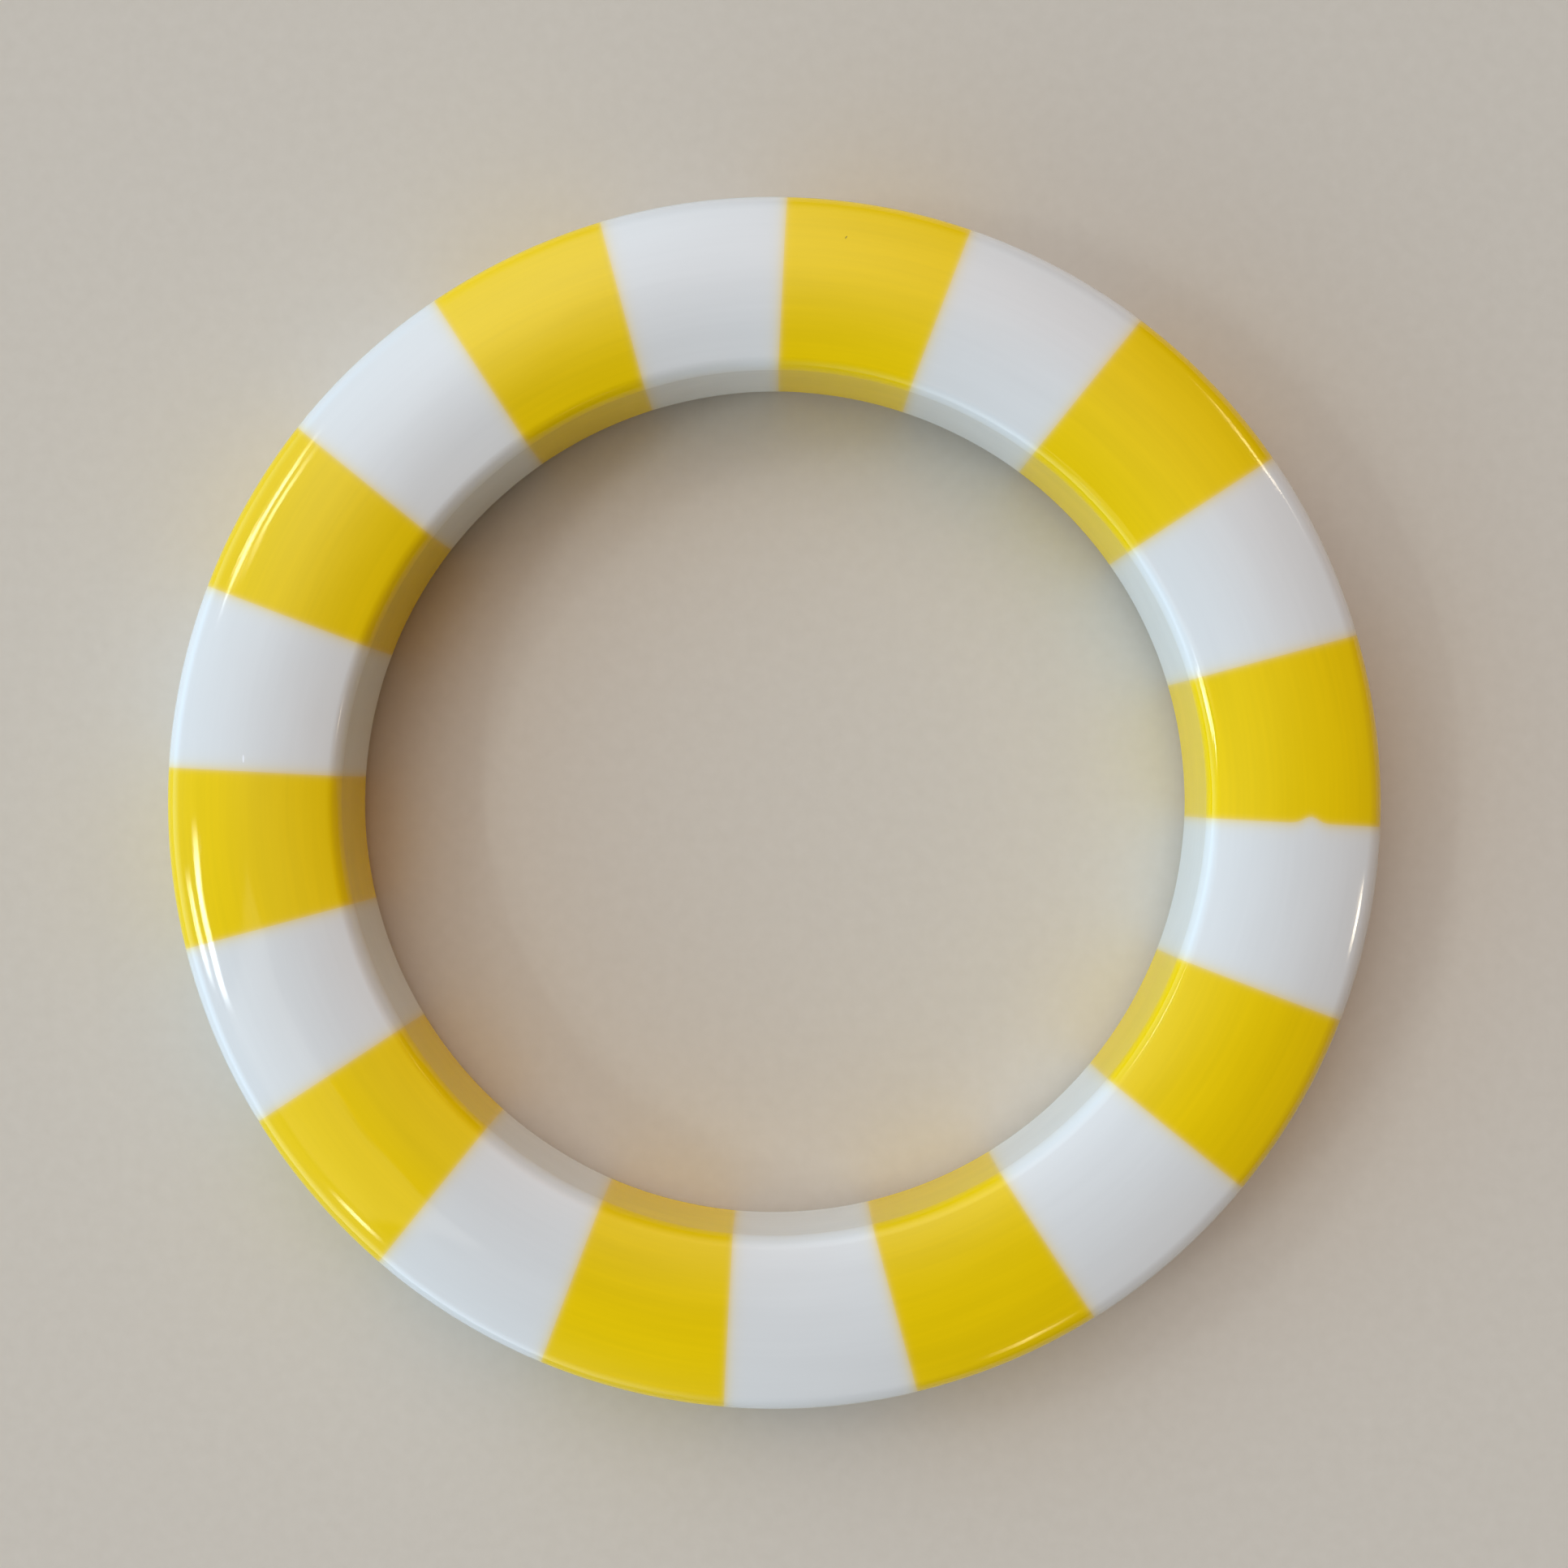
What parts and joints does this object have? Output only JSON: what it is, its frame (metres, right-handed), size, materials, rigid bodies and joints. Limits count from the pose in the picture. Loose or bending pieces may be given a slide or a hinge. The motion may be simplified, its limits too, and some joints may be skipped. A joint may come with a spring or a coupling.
{
  "type": "segmented ring",
  "caption": "Thick hand-size ring glued up from plastic wedges in alternating yellow and white, with domed faces, rounded edges and a straight polished bore.",
  "frame": {"origin": "centre of the ring, on the axis of the bore and halfway between the crowns of the two faces", "axes": "+Z along the axis of the bore, out of the upper face; +X and +Y across the ring, with the first glue joint about 15 degrees from +X"},
  "size_m": [0.094, 0.094, 0.0112],
  "materials": {
    "white_resin": "polished",
    "yellow_resin": "polished",
    "set_adhesive": "polished"
  },
  "bodies": {
    "root": {"white_segment_01": "white_resin", "white_segment_02": "white_resin", "white_segment_03": "white_resin", "white_segment_04": "white_resin", "white_segment_05": "white_resin", "white_segment_06": "white_resin", "white_segment_07": "white_resin", "white_segment_08": "white_resin", "white_segment_09": "white_resin", "white_segment_10": "white_resin", "yellow_segment_01": "yellow_resin", "yellow_segment_02": "yellow_resin", "yellow_segment_03": "yellow_resin", "yellow_segment_04": "yellow_resin", "yellow_segment_05": "yellow_resin", "yellow_segment_06": "yellow_resin", "yellow_segment_07": "yellow_resin", "yellow_segment_08": "yellow_resin", "yellow_segment_09": "yellow_resin", "yellow_segment_10": "yellow_resin", "glue_films": "set_adhesive"}
  },
  "joints": []
}
